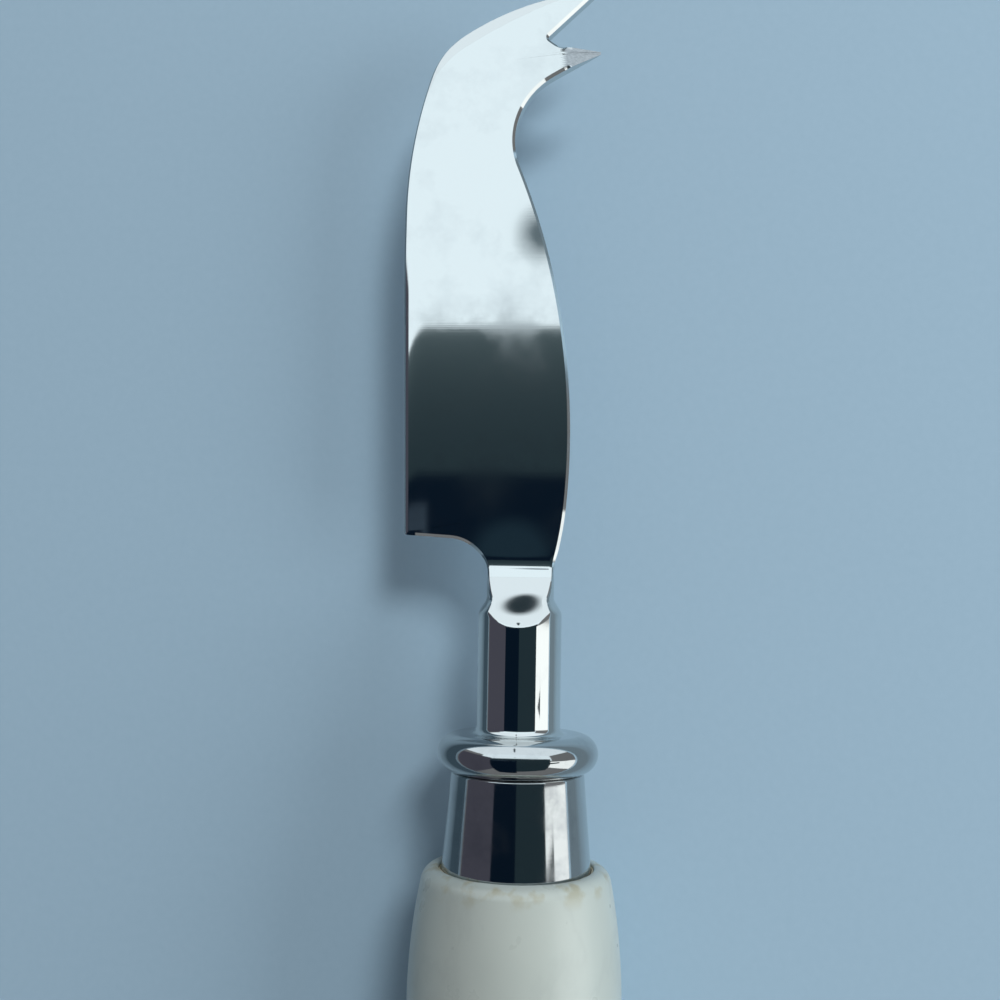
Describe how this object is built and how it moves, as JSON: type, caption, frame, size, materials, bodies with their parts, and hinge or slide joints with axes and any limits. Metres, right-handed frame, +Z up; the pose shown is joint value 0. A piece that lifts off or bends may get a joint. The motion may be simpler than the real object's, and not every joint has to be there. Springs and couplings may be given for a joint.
{
  "type": "cheese knife",
  "caption": "Cheese knife: a forged blade with a forked tip runs back into a round shank, a bead ring and a tapered ferrule, and its tang is cemented into a smooth white handle.",
  "frame": {"origin": "under the middle of the knife's box, at the height of the underside of the handle's widest place", "axes": "+Y along the knife from the handle to the tip, -X towards the cutting edge, +Z up, square to the flat of the blade"},
  "size_m": [0.0292, 0.1696, 0.0265],
  "materials": {
    "blade_steel": "polished",
    "ring_steel": "polished",
    "ferrule_steel": "polished",
    "handle_stone": "satin",
    "cement": "matte"
  },
  "bodies": {
    "root": {"blade": "blade_steel", "bead_ring": "ring_steel", "ferrule": "ferrule_steel", "handle": "handle_stone", "cement": "cement"}
  },
  "joints": []
}
